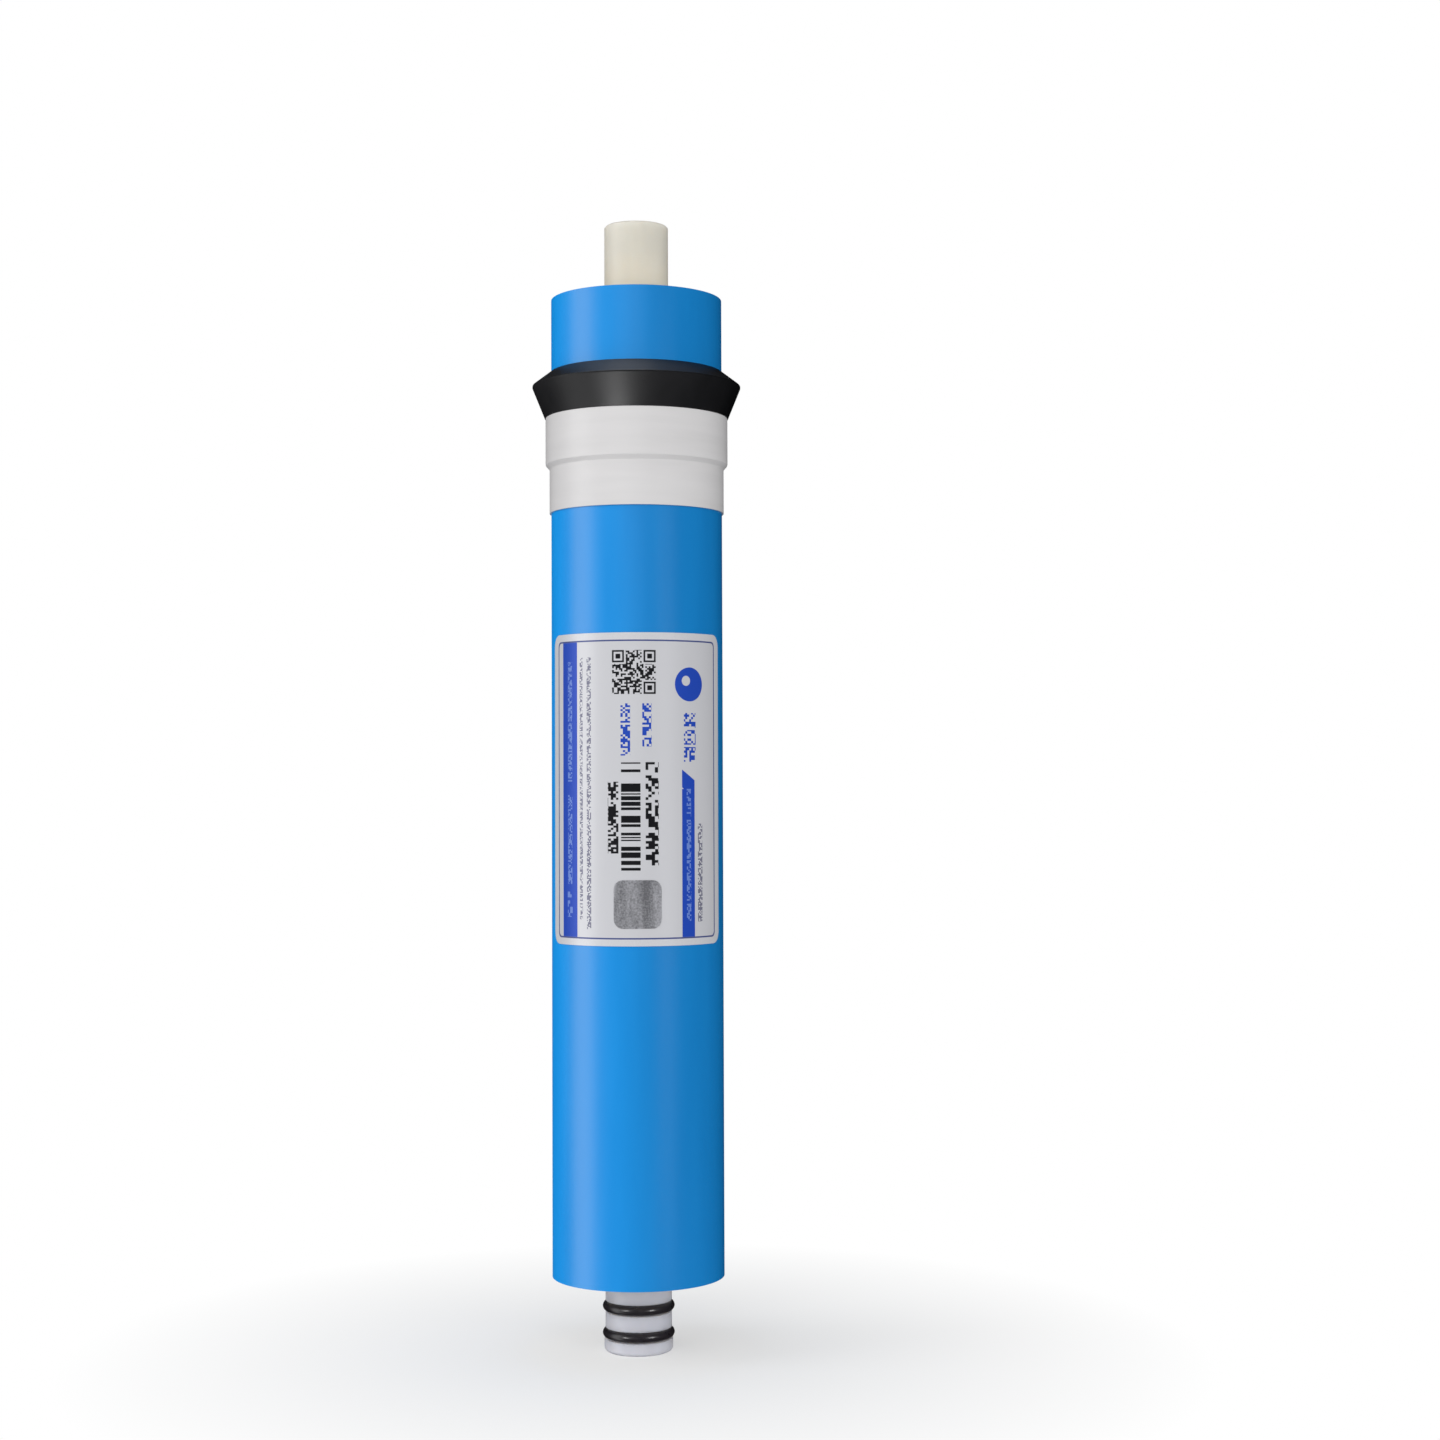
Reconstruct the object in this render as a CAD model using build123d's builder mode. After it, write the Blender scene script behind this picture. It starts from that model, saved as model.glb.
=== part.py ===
from build123d import *
import os
from math import degrees

os.makedirs("parts", exist_ok=True)

# A spiral-wound reverse osmosis element for a household purifier, in millimetres. It stands on its
# outlet tip at the origin, with +Z along the permeate tube to the feed end and the label towards -Y.

# Lengths along the axis
outlet_stub_length = 19.7
body_length = 258.3
feed_stub_length = 20.0

# Permeate tube
tube_diameter = 17.5
tube_wall = 3.25
feed_end_turning = 0.25
nose_step = 0.3
nose_rounding = 1.1
bore_chamfer = 0.6
feed_end_chamfer = 0.4
perforation_diameter = 3.0
perforation_rows = 4
perforation_margin = 22.0

# Two O-rings in grooves of the outlet spigot
o_ring_cord = 2.65
o_ring_cord_sides = 10
o_ring_stand_out = 0.75
first_o_ring_height = 4.8
o_ring_pitch = 7.0
groove_side_gap = 0.15

# Plug glued into the feed end of the tube
plug_seat_step = 1.0
plug_seat_depth = 9.0
plug_recess = 0.8
plug_wall = 1.6
plug_floor = 2.2

# Wound sheets
membrane_thickness = 0.15
carrier_thickness = 0.33
spacer_thickness = 0.86
layer_gap = 0.03
carrier_half_turns = 2
roll_end_recess = 0.9
spacer_trim = 0.35

# Film wound round the roll, with its free edge at the back
body_diameter = 45.4
film_thickness = 0.13
film_layers = 3
film_clearance = 0.05
film_edge_angle = 100.0
film_blend_angle = 60.0

# Lip seal: a skirt on the film and a nose that stands out from it, placed from the feed end of the body
seal_distance = 19.2
nose_upper_length = 4.0
nose_lower_length = 8.4
skirt_length = 12.2
skirt_thickness = 1.04
nose_ledge = 0.15
seal_reach = 5.0
seal_tip_flat = 0.45

# Tape band that holds the skirt and runs on below it
tape_overhang = 13.1
tape_thickness = 0.15
tape_layers = 3
tape_slope_length = 1.5
tape_edge_angle = 70.0
tape_gap_angle = 45.0

# Foil label round the front of the body, and the small sticker on it
front_angle = 270.0
label_height = 80.5
label_below_middle = 0.95
label_width = 55.0
label_thickness = 0.12
label_corner_radius = 3.2
label_turn = 1.6
sticker_width = 12.4
sticker_height = 12.4
sticker_thickness = 0.08
sticker_corner_radius = 2.4
sticker_edge_distance = 4.5
sticker_turn = 0.0

# Clearance between pieces that seat on each other, and the overrun of every cut
seat_gap = 0.02
overrun = 1.0

# Places that follow from the sizes above
body_bottom = outlet_stub_length
body_top = body_bottom + body_length
element_length = body_top + feed_stub_length
tube_radius = tube_diameter / 2
bore_radius = tube_radius - tube_wall
feed_stub_radius = tube_radius - feed_end_turning
nose_radius = tube_radius + nose_step
body_radius = body_diameter / 2
plug_seat_radius = bore_radius + plug_seat_step
plug_seat_bottom = element_length - plug_seat_depth
o_ring_heights = (first_o_ring_height, first_o_ring_height + o_ring_pitch)
o_ring_centre_radius = tube_radius + o_ring_stand_out - o_ring_cord / 2
groove_floor_radius = o_ring_centre_radius - o_ring_cord / 2 - seat_gap
groove_width = o_ring_cord + 2 * groove_side_gap
nose_top = body_top - seal_distance
nose_tip = nose_top - nose_upper_length
nose_bottom = nose_tip - nose_lower_length
skirt_bottom = nose_bottom - skirt_length
skirt_inner_radius = body_radius + seat_gap
skirt_radius = skirt_inner_radius + skirt_thickness
seal_radius = body_radius + seal_reach
tape_inner_radius = skirt_radius + seat_gap
tape_band = tape_layers * tape_thickness
tape_bottom = skirt_bottom - tape_overhang
tape_top = nose_bottom - seat_gap


def round_outline(radius, edge_angle, blend_angle, step):
    """Outline of a wound sheet: a circle whose last turn ends in a step and blends out again."""
    start = Vector(radius, 0).rotate(Axis.Z, edge_angle + blend_angle)
    end = Vector(radius - step, 0).rotate(Axis.Z, edge_angle)
    CenterArc((0, 0), radius, edge_angle + blend_angle, 360 - blend_angle)
    Line(Vector(radius, 0).rotate(Axis.Z, edge_angle), end)
    TangentArc(start, end, tangent=start.rotate(Axis.Z, -90))


def wound_outline(first_radius, thickness, pitch, half_turns):
    """Outline of a sheet wound in half circles about two centres, a quarter of the pitch off the axis."""
    ends = []
    for radius in (first_radius, first_radius + thickness):
        for half in range(half_turns):
            side = 1 if half % 2 else -1
            arc = CenterArc((side * pitch / 4, 0), radius + half * pitch / 2, 180 * (half % 2), 180)
            if half == 0:
                ends.append(arc @ 0)
        ends.append(arc @ 1)
    Line(ends[0], ends[2])
    Line(ends[1], ends[3])


# The tube carries everything: it has a grooved spigot with a thicker nose at the outlet, a feed end turned
# down to the size of its socket, a seat for the plug, and rows of holes where the sheets are wound on it.
with BuildPart() as permeate_tube:
    with BuildSketch(Plane.XZ):
        with BuildLine():
            Polyline(
                (bore_radius, 0),
                (nose_radius, 0),
                (nose_radius, first_o_ring_height),
                (tube_radius, first_o_ring_height),
                (tube_radius, body_top),
                (feed_stub_radius, body_top),
                (feed_stub_radius, element_length),
                (plug_seat_radius, element_length),
                (plug_seat_radius, plug_seat_bottom),
                (bore_radius, plug_seat_bottom),
                (bore_radius, 0),
            )
        make_face()
        for ring_height in o_ring_heights:
            with Locations((groove_floor_radius, ring_height)):
                Rectangle(o_ring_cord, groove_width, align=(Align.MIN, Align.CENTER), mode=Mode.SUBTRACT)
    revolve(axis=Axis.Z)
    tip_rims = permeate_tube.edges().filter_by(GeomType.CIRCLE).group_by(Axis.Z)[0].sort_by(SortBy.RADIUS)
    fillet(tip_rims[-1], radius=nose_rounding)
    chamfer(permeate_tube.edges().group_by(Axis.Z)[0].sort_by(SortBy.RADIUS)[0], length=bore_chamfer)
    chamfer(permeate_tube.edges().group_by(Axis.Z)[-1].sort_by(SortBy.RADIUS)[-1], length=feed_end_chamfer)
    # Holes through both walls, each pair turned a quarter from the last
    perforated_length = body_length - 2 * perforation_margin
    for row in range(perforation_rows):
        row_height = body_bottom + perforation_margin + row * perforated_length / (perforation_rows - 1)
        row_plane = Plane.YZ if row % 2 else Plane.XZ
        with BuildSketch(row_plane):
            with Locations((0, row_height)):
                Circle(perforation_diameter / 2)
        extrude(amount=tube_radius + overrun, both=True, mode=Mode.SUBTRACT)

# A moulded cup closes the feed end, so that feed water can't enter the permeate tube.
with BuildPart() as tube_plug:
    plug_radius = plug_seat_radius - seat_gap
    plug_height = plug_seat_depth - plug_recess - seat_gap
    with BuildSketch(Plane.XY.offset(plug_seat_bottom + seat_gap)):
        Circle(plug_radius)
    extrude(amount=plug_height)
    with BuildSketch(Plane.XY.offset(element_length - plug_recess)):
        Circle(plug_radius - plug_wall)
    extrude(amount=plug_floor - plug_height, mode=Mode.SUBTRACT)

# Tricot cloth is wound round the tube first, and its end runs into the glued leaf.
carrier_pitch = carrier_thickness + membrane_thickness + layer_gap
carrier_first_radius = tube_radius + seat_gap + carrier_pitch / 4
wound_height = body_length - 2 * roll_end_recess
with BuildPart() as permeate_carrier:
    with BuildSketch(Plane.XY.offset(body_bottom + roll_end_recess)):
        with BuildLine():
            wound_outline(carrier_first_radius, carrier_thickness, carrier_pitch, carrier_half_turns)
        make_face()
    extrude(amount=wound_height)

# The leaf is one membrane sheet, folded round the inner edge of the spacer and glued back to back
# with the carrier between, so its section is an endless strip with a round fold beside the tube.
carrier_end_radius = carrier_first_radius + carrier_pitch / 4 + (carrier_half_turns - 1) * carrier_pitch / 2
film_inner_radius = body_radius - film_layers * film_thickness
leaf_thickness = 2 * membrane_thickness + carrier_thickness
leaf_start = carrier_end_radius - membrane_thickness
last_turn_depth = max(leaf_thickness, (leaf_thickness + spacer_thickness) / 2)
winding_depth = film_inner_radius - film_clearance - leaf_start - last_turn_depth
# As many half turns as the room inside the film takes, spread evenly over it
leaf_half_turns = int(2 * winding_depth / (leaf_thickness + spacer_thickness + 2 * layer_gap))
winding_pitch = 2 * winding_depth / leaf_half_turns
leaf_first_radius = leaf_start + winding_pitch / 4
fold_inner_radius = (winding_pitch - leaf_thickness) / 2
with BuildPart() as membrane_leaf:
    with BuildSketch(Plane.XY.offset(body_bottom + roll_end_recess)):
        with BuildLine():
            wound_outline(leaf_first_radius, leaf_thickness, winding_pitch, leaf_half_turns)
        make_face()
        with BuildLine():
            fold_centre = (leaf_start + leaf_thickness + fold_inner_radius, 0)
            inner_fold = CenterArc(fold_centre, fold_inner_radius, 180, 180)
            outer_fold = CenterArc(fold_centre, fold_inner_radius + membrane_thickness, 180, 180)
            Line(inner_fold @ 0, outer_fold @ 0)
            Line(inner_fold @ 1, outer_fold @ 1)
        make_face()
    extrude(amount=wound_height)

# The feed spacer is a plastic net that lies in the fold and keeps the feed channel open.
with BuildPart() as feed_spacer:
    with BuildSketch(Plane.XY.offset(body_bottom + roll_end_recess + spacer_trim)):
        with BuildLine():
            spacer_first_radius = leaf_first_radius + (winding_pitch + leaf_thickness - spacer_thickness) / 2
            wound_outline(spacer_first_radius, spacer_thickness, winding_pitch, leaf_half_turns - 1)
        make_face()
    extrude(amount=wound_height - 2 * spacer_trim)

# Blue film holds the roll tight. Its turns are stuck together, and its free edge shows as a small step.
with BuildPart() as outer_wrap:
    with BuildSketch(Plane.XY.offset(body_bottom)):
        with BuildLine():
            round_outline(body_radius, film_edge_angle, film_blend_angle, film_thickness)
        make_face()
        Circle(film_inner_radius, mode=Mode.SUBTRACT)
    extrude(amount=body_length)

# The rubber seal closes the gap to the housing: its skirt sits on the film and its nose points outwards.
with BuildPart() as brine_seal:
    with BuildSketch(Plane.XZ):
        with BuildLine():
            Polyline(
                (skirt_inner_radius, skirt_bottom),
                (skirt_radius, skirt_bottom),
                (skirt_radius, nose_bottom),
                (tape_inner_radius + tape_band + nose_ledge, nose_bottom),
                (seal_radius, nose_tip - seal_tip_flat / 2),
                (seal_radius, nose_tip + seal_tip_flat / 2),
                (skirt_inner_radius, nose_top),
                close=True,
            )
        make_face()
    revolve(axis=Axis.Z)


# White tape is wound over the skirt and the film below it, so it steps in under the skirt's edge.
def tape_outline(band):
    """Section of the tape, a band thick, from its lower edge on the film to its upper edge at the nose."""
    Polyline(
        (skirt_inner_radius, tape_bottom),
        (skirt_inner_radius + band, tape_bottom),
        (skirt_inner_radius + band, skirt_bottom - tape_slope_length),
        (tape_inner_radius + band, skirt_bottom),
        (tape_inner_radius + band, tape_top),
        (tape_inner_radius, tape_top),
        (tape_inner_radius, skirt_bottom - seat_gap),
        (skirt_inner_radius, skirt_bottom - tape_slope_length),
        close=True,
    )


def turned_plane(angle):
    """An upright plane through the axis, turned about it."""
    return Plane(
        origin=(0, 0, 0),
        x_dir=Vector(1, 0, 0).rotate(Axis.Z, angle),
        z_dir=Vector(0, -1, 0).rotate(Axis.Z, angle),
    )


with BuildPart() as seal_tape:
    with BuildSketch(Plane.XZ):
        with BuildLine():
            tape_outline(tape_band)
        make_face()
    revolve(axis=Axis.Z)
    # The free end of the last turn, one layer thick, at the back
    with BuildSketch(turned_plane(tape_edge_angle)):
        with Locations((0, tape_bottom - overrun)):
            Rectangle(seal_radius, tape_top - tape_bottom + 2 * overrun, align=Align.MIN)
        with BuildLine():
            tape_outline(tape_band - tape_thickness)
        make_face(mode=Mode.SUBTRACT)
    revolve(axis=Axis.Z, revolution_arc=tape_gap_angle, mode=Mode.SUBTRACT)


# The foil label and the small silver sticker on it are thin sheets bent round the body, each a slice
# of a ring with its four corners rounded.
label_inner_radius = body_radius + seat_gap
label_bottom = body_bottom + (body_length - label_height) / 2 - label_below_middle
sticker_inner_radius = label_inner_radius + label_thickness + seat_gap
sticker_bottom = label_bottom + sticker_edge_distance
sheets = (
    ("label", label_inner_radius, label_thickness, label_width, label_height, label_bottom,
     label_corner_radius, label_turn),
    ("security_sticker", sticker_inner_radius, sticker_thickness, sticker_width, sticker_height,
     sticker_bottom, sticker_corner_radius, sticker_turn),
)
for sheet_name, inner_radius, thickness, width, height, bottom, corner_radius, turn in sheets:
    spread = degrees(width / inner_radius)
    middle = front_angle - turn
    with BuildPart() as sheet:
        with BuildSketch(turned_plane(middle - spread / 2)):
            with Locations((inner_radius, bottom)):
                Rectangle(thickness, height, align=Align.MIN)
        revolve(axis=Axis.Z, revolution_arc=spread)
        for side, end in ((-1, -1), (-1, 1), (1, -1), (1, 1)):
            corner_angle = middle + side * spread / 2
            corner_height = bottom + height * (1 + end) / 2
            corner_plane = Plane(
                origin=Vector(inner_radius, 0, corner_height).rotate(Axis.Z, corner_angle),
                x_dir=Vector(0, 1, 0).rotate(Axis.Z, corner_angle),
                z_dir=Vector(1, 0, 0).rotate(Axis.Z, corner_angle),
            )
            with BuildSketch(corner_plane):
                Rectangle(2 * corner_radius, 2 * corner_radius)
                with Locations((-side * corner_radius, -end * corner_radius)):
                    Circle(corner_radius, mode=Mode.SUBTRACT)
            extrude(amount=overrun, both=True, mode=Mode.SUBTRACT)
    sheet.part.label = sheet_name
    export_step(sheet.part, f"parts/{sheet_name}.step")

permeate_tube.part.label = "permeate_tube"
export_step(permeate_tube.part, "parts/permeate_tube.step")
tube_plug.part.label = "tube_plug"
export_step(tube_plug.part, "parts/tube_plug.step")
permeate_carrier.part.label = "permeate_carrier"
export_step(permeate_carrier.part, "parts/permeate_carrier.step")
membrane_leaf.part.label = "membrane_leaf"
export_step(membrane_leaf.part, "parts/membrane_leaf.step")
feed_spacer.part.label = "feed_spacer"
export_step(feed_spacer.part, "parts/feed_spacer.step")
outer_wrap.part.label = "outer_wrap"
export_step(outer_wrap.part, "parts/outer_wrap.step")
brine_seal.part.label = "brine_seal"
export_step(brine_seal.part, "parts/brine_seal.step")
seal_tape.part.label = "seal_tape"
export_step(seal_tape.part, "parts/seal_tape.step")

# The two O-rings are alike, one in each groove. Their round cord is drawn with flats.
for ring_name, ring_height in zip(("lower_o_ring", "upper_o_ring"), o_ring_heights):
    with BuildPart() as o_ring:
        with BuildSketch(Plane.XZ):
            with Locations((o_ring_centre_radius, ring_height)):
                RegularPolygon(o_ring_cord / 2, o_ring_cord_sides)
        revolve(axis=Axis.Z)
    o_ring.part.label = ring_name
    export_step(o_ring.part, f"parts/{ring_name}.step")
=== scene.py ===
from math import atan2, cos, degrees, hypot, pi, radians, sin
import bpy
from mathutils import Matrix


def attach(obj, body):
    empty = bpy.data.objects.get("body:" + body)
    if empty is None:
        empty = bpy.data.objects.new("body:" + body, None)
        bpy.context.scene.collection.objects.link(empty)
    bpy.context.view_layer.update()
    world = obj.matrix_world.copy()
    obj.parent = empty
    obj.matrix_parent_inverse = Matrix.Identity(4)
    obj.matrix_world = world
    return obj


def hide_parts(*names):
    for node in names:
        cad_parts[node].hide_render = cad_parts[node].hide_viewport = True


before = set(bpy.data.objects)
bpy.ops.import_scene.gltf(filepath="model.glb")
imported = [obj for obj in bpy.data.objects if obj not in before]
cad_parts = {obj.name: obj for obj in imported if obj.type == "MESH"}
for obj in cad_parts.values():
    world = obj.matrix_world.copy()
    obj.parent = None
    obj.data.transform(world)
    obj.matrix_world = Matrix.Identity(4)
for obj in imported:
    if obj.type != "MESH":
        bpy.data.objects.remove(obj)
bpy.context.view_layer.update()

# The permeate tube is one length of white food-grade plastic. Its lower end is a spigot with a rounded nose
# and two O-ring grooves, its upper end is turned down to a plain stub with a seat for the plug, and rows
# of drilled holes let water in where the sheets are wound on it.
MM = 0.001
weld = 0.001 * MM
gap = 0.02
outlet_stub = 19.7
body_length = 258.3
feed_stub = 20.0
body_bottom = outlet_stub
body_top = body_bottom + body_length
element_length = body_top + feed_stub
bore_radius = 5.5
bore_chamfer = 0.6
tube_radius = 8.75
stub_radius = 8.5
stub_chamfer = 0.4
nose_radius = 9.05
nose_rounding = 1.1
nose_steps = 6
o_ring_cord = 2.65
o_ring_stand_out = 0.75
o_ring_centre = tube_radius + o_ring_stand_out - o_ring_cord / 2
o_ring_heights = {"lower_o_ring": 4.8, "upper_o_ring": 11.8}
groove_floor = o_ring_centre - o_ring_cord / 2 - gap
groove_half = o_ring_cord / 2 + 0.15
plug_seat_radius = 6.5
plug_seat_depth = 9.0
plug_seat_bottom = element_length - plug_seat_depth
hole_rows = 4
hole_radius = 1.5
hole_margin = 22.0
drill_length = 22.0


def to_linear(colour):
    """A colour written as sRGB hex, in the linear values that a shader takes."""
    shares = [int(colour[place:place + 2], 16) / 255 for place in (1, 3, 5)]
    return [share / 12.92 if share <= 0.04045 else ((share + 0.055) / 1.055) ** 2.4
            for share in shares] + [1.0]


def add_node(tree, kind, feeds, **settings):
    """One node with its settings. Each feed is a value, or another node's socket that it is linked to."""
    node = tree.nodes.new(kind)
    for name, value in settings.items():
        setattr(node, name, value)
    for name, value in feeds.items():
        if isinstance(value, bpy.types.NodeSocket):
            tree.links.new(value, node.inputs[name])
        else:
            node.inputs[name].default_value = value
    return node


def start_material(name):
    """A new material, its tree, its main shader and the socket that gives places on the piece, in metres."""
    material = bpy.data.materials.new(name)
    material.use_nodes = True
    tree = material.node_tree
    place = add_node(tree, "ShaderNodeTexCoord", {})
    return material, tree, tree.nodes["Principled BSDF"], place.outputs["Object"]


def start_mesh(name, size):
    """A new piece that starts as a plane, in edit mode and with all of it selected."""
    bpy.ops.object.select_all(action="DESELECT")
    bpy.ops.mesh.primitive_plane_add(size=size)
    piece = bpy.context.object
    piece.name = piece.data.name = name
    bpy.ops.object.mode_set(mode="EDIT")
    bpy.ops.mesh.select_all(action="SELECT")
    return piece


def finish_mesh():
    """Turns the faces of the mesh in edit mode outwards and leaves edit mode."""
    bpy.ops.mesh.select_all(action="SELECT")
    bpy.ops.mesh.normals_make_consistent(inside=False)
    bpy.ops.object.mode_set(mode="OBJECT")


def draw_profile(name, profile):
    """A new piece in edit mode, drawn as a closed profile of (radius, height) points in millimetres."""
    piece = start_mesh(name, MM)
    bpy.ops.mesh.merge(type="CENTER")
    last = (0, 0)
    for number, point in enumerate(profile + profile[:1]):
        step = ((point[0] - last[0]) * MM, 0, (point[1] - last[1]) * MM)
        if number:
            bpy.ops.mesh.extrude_region_move(TRANSFORM_OT_translate={"value": step})
        else:
            bpy.ops.transform.translate(value=step)
        last = point
    bpy.ops.mesh.select_all(action="SELECT")
    bpy.ops.mesh.remove_doubles(threshold=weld)
    return piece


def turn_profile(name, profile, steps=144):
    """A turned or moulded ring: its profile, spun round the tube's axis."""
    piece = draw_profile(name, profile)
    bpy.ops.mesh.spin(steps=steps, angle=2 * pi, center=(0, 0, 0), axis=(0, 0, 1))
    bpy.ops.mesh.select_all(action="SELECT")
    bpy.ops.mesh.remove_doubles(threshold=weld)
    bpy.ops.mesh.delete_loose()
    finish_mesh()
    return piece


def soften_edges(piece, width, smooth_angle=32):
    """Breaks the sharp edges by a width in millimetres, smooths the rest and keeps large faces flat."""
    bpy.ops.object.select_all(action="DESELECT")
    piece.select_set(True)
    bpy.context.view_layer.objects.active = piece
    bevel = piece.modifiers.new("broken edges", "BEVEL")
    bevel.width = width * MM
    bevel.segments = 3
    bevel.limit_method = "ANGLE"
    bevel.angle_limit = radians(35)
    bpy.ops.object.modifier_apply(modifier=bevel.name)
    bpy.ops.object.mode_set(mode="EDIT")
    bpy.ops.mesh.select_all(action="SELECT")
    bpy.ops.mesh.dissolve_degenerate(threshold=weld)
    bpy.ops.mesh.delete_loose()
    bpy.ops.object.mode_set(mode="OBJECT")
    bpy.ops.object.shade_smooth_by_angle(angle=radians(smooth_angle))
    steady = piece.modifiers.new("large faces stay flat", "WEIGHTED_NORMAL")
    steady.keep_sharp = True
    bpy.ops.object.modifier_apply(modifier=steady.name)


tube_profile = [(bore_radius, bore_chamfer), (bore_radius + bore_chamfer, 0)]
for part in range(nose_steps + 1):
    turn = pi / 2 * part / nose_steps
    tube_profile.append((nose_radius - nose_rounding + nose_rounding * sin(turn),
                         nose_rounding - nose_rounding * cos(turn)))
tube_profile.append((nose_radius, o_ring_heights["lower_o_ring"] - groove_half))
for height in o_ring_heights.values():
    if height != o_ring_heights["lower_o_ring"]:
        tube_profile.append((tube_radius, height - groove_half))
    tube_profile.append((groove_floor, height - groove_half))
    tube_profile.append((groove_floor, height + groove_half))
    tube_profile.append((tube_radius, height + groove_half))
tube_profile += [
    (tube_radius, body_top),
    (stub_radius, body_top),
    (stub_radius, element_length - stub_chamfer),
    (stub_radius - stub_chamfer, element_length),
    (plug_seat_radius, element_length),
    (plug_seat_radius, plug_seat_bottom),
    (bore_radius, plug_seat_bottom),
]
tube = turn_profile("tube", tube_profile)
for row in range(hole_rows):
    height = body_bottom + hole_margin + row * (body_length - 2 * hole_margin) / (hole_rows - 1)
    bpy.ops.mesh.primitive_cylinder_add(vertices=32, radius=hole_radius * MM, depth=drill_length * MM,
                                        location=(0, 0, height * MM),
                                        rotation=(pi / 2, 0, pi / 2 * (row % 2)))
    drill = bpy.context.object
    holes = tube.modifiers.new("drilled holes", "BOOLEAN")
    holes.object = drill
    holes.operation = "DIFFERENCE"
    bpy.context.view_layer.objects.active = tube
    bpy.ops.object.modifier_apply(modifier=holes.name)
    bpy.data.objects.remove(drill)
soften_edges(tube, 0.12)

# Injection-grade ABS, ivory white: a satin skin that scatters light a little, with painted light and shade
# that makes it a lit warm cream at the feed end and a shaded cool grey at the outlet end. Its turning marks
# are finer on a real one and are drawn about 1.6 mm apart, so that they show.
# The scale of each noise counts its grains to the metre, and on the label to the millimetre.
tube_plastic, tree, skin, place = start_material("ABS_ivory_satin")
mark_spacing = pi / 2
axes = add_node(tree, "ShaderNodeSeparateXYZ", {0: place})
# Painted light and shade: the colour runs from a shaded cool grey at the outlet end to a lit warm cream at
# the feed end.
painted_light_towards_feed_end = add_node(tree, "ShaderNodeMapRange", {"Value": axes.outputs["Z"], "From Min": body_bottom * MM,
                                             "From Max": body_top * MM})
painted_shade = add_node(tree, "ShaderNodeMix", {0: painted_light_towards_feed_end.outputs[0], 6: to_linear("#CAC9D1"),
                                         7: to_linear("#E1D8C8")}, data_type="RGBA")
cloud = add_node(tree, "ShaderNodeTexNoise", {"Vector": place, "Scale": 160.0, "Detail": 4.0})
mottle = add_node(tree, "ShaderNodeMapRange", {"Value": cloud.outputs[0], "To Min": 0.96, "To Max": 1.03})
colour = add_node(tree, "ShaderNodeVectorMath", {0: painted_shade.outputs[2], 1: mottle.outputs[0]},
                  operation="MULTIPLY")
tree.links.new(colour.outputs[0], skin.inputs["Base Color"])
marks = add_node(tree, "ShaderNodeTexWave", {"Vector": place, "Scale": 2 * pi / (20 * mark_spacing * MM),
                                             "Distortion": 0.6, "Detail": 2.0}, bands_direction="Z")
relief = add_node(tree, "ShaderNodeBump", {"Height": marks.outputs[0], "Strength": 0.12,
                                           "Distance": 0.02 * MM})
tree.links.new(relief.outputs[0], skin.inputs["Normal"])
rough = add_node(tree, "ShaderNodeMapRange", {"Value": cloud.outputs[0], "To Min": 0.34, "To Max": 0.46})
tree.links.new(rough.outputs[0], skin.inputs["Roughness"])
skin.inputs["IOR"].default_value = 1.53
skin.inputs["Subsurface Weight"].default_value = 0.8
skin.inputs["Subsurface Radius"].default_value = (1.0, 0.9, 0.8)
skin.inputs["Subsurface Scale"].default_value = 8.0 * MM
tube.data.materials.append(tube_plastic)
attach(tube, "root")
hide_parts("permeate_tube")

# The plug is a small moulded cup of the same plastic family, pressed and glued into the tube's feed end
# so that raw water can't get into the permeate tube.
plug_radius = plug_seat_radius - gap
plug_sink = 0.8
plug_top = element_length - plug_sink
plug_bottom = plug_seat_bottom + gap
plug_chamfer = 0.4
plug_wall = 1.6
plug_base = 2.2
plug = turn_profile("plug", [
    (0, plug_bottom),
    (plug_radius - plug_chamfer, plug_bottom),
    (plug_radius, plug_bottom + plug_chamfer),
    (plug_radius, plug_top),
    (plug_radius - plug_wall, plug_top),
    (plug_radius - plug_wall - 0.3, plug_bottom + plug_base + 0.2),
    (plug_radius - plug_wall - 0.7, plug_bottom + plug_base),
    (0, plug_bottom + plug_base),
])
soften_edges(plug, 0.15)

# Natural polypropylene, moulded: whiter and a little waxier than the tube, with a soft sheen and faint clouds
# of 2 to 3 mm.
plug_plastic, tree, skin, place = start_material("polypropylene_white_moulded")
cloud = add_node(tree, "ShaderNodeTexNoise", {"Vector": place, "Scale": 420.0, "Detail": 3.0})
colour = add_node(tree, "ShaderNodeMix", {0: cloud.outputs[0], 6: to_linear("#D9D6CC"),
                                          7: to_linear("#ECE9E0")}, data_type="RGBA")
relief = add_node(tree, "ShaderNodeBump", {"Height": cloud.outputs[0], "Strength": 0.15,
                                           "Distance": 0.03 * MM})
tree.links.new(colour.outputs[2], skin.inputs["Base Color"])
tree.links.new(relief.outputs[0], skin.inputs["Normal"])
skin.inputs["Roughness"].default_value = 0.42
skin.inputs["IOR"].default_value = 1.49
plug.data.materials.append(plug_plastic)
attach(plug, "root")
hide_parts("tube_plug")

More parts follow.
